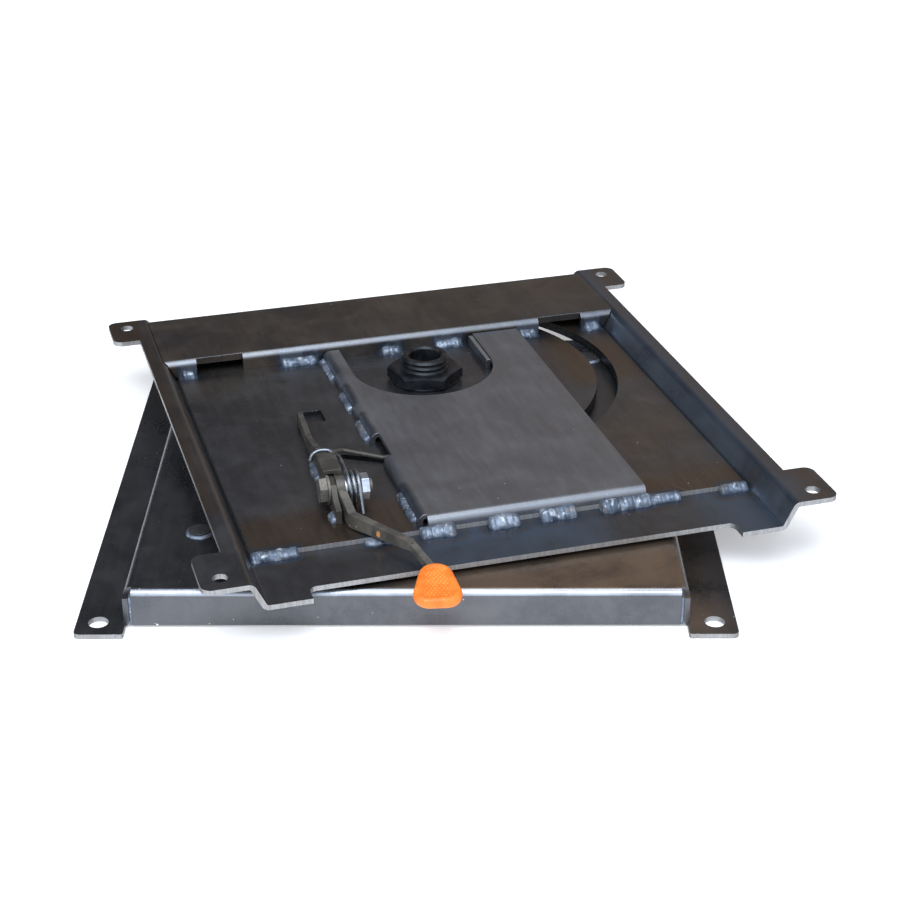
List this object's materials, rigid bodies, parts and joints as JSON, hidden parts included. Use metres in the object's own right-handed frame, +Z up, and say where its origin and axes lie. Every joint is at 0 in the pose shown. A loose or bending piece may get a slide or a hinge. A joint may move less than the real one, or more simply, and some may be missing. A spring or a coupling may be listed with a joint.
{
  "type": "locking seat swivel base",
  "caption": "Folded steel seat swivel: a lower base with side feet, a turntable tray on a hollow threaded spigot, and a sprung hand lever that lifts the lock pin.",
  "frame": {"origin": "lower mouth of the spigot bore: pivot axis of the turntable, on the ground plane under the base feet", "axes": "+X right, +Y rear, +Z up; the base is square to the axes and the turntable rests turned 16.5 degrees anticlockwise"},
  "size_m": [0.5286, 0.5286, 0.062],
  "materials": {
    "mill_steel": "dark mill scale",
    "weld_metal": "raw weld bead",
    "black_steel": "black oxide",
    "zinc_steel": "bright zinc",
    "black_plastic": "matte",
    "ring_plastic": "matte",
    "orange_grip": "moulded"
  },
  "bodies": {
    "base": {"base_pan": "mill_steel", "base_corner_welds": "weld_metal", "glide_pads": "black_plastic", "glide_welds": "weld_metal", "pivot_spigot": "black_steel", "spigot_weld": "weld_metal", "friction_ring": "ring_plastic", "stop_stud": "mill_steel", "pivot_washer": "black_steel", "pivot_nut": "black_steel"},
    "turntable": {"upper_tray": "mill_steel", "floor_plate": "mill_steel", "floor_welds": "weld_metal", "back_rail": "mill_steel", "rail_welds": "weld_metal", "centre_cover": "mill_steel", "cover_rib": "mill_steel", "cover_welds": "weld_metal", "lever_bracket": "mill_steel", "bracket_welds": "weld_metal", "lever_bolt": "black_steel", "bolt_washer": "black_steel", "spring_sleeve": "zinc_steel", "lever_nut": "zinc_steel", "torsion_spring": "zinc_steel"},
    "lever": {"lever_bar": "mill_steel", "lever_stop": "mill_steel", "lever_grip": "orange_grip", "release_rod": "black_steel", "lock_pin": "zinc_steel"}
  },
  "joints": [
    {"name": "swivel", "type": "hinge", "parent": "base", "child": "turntable", "pos_m": [0, 0, 0.03], "axis": [0, 0, 1], "range_deg": [-115.5, 49.5]},
    {"name": "lever_release", "type": "hinge", "parent": "turntable", "child": "lever", "pos_m": [-0.05583, -0.2027, 0.05], "axis": [0.9724, 0.2334, 0], "range_deg": [-3.3, 0], "stiffness_Nm_per_rad": 1.5, "springref_deg": -20.05, "deforming": ["torsion_spring"]}
  ]
}
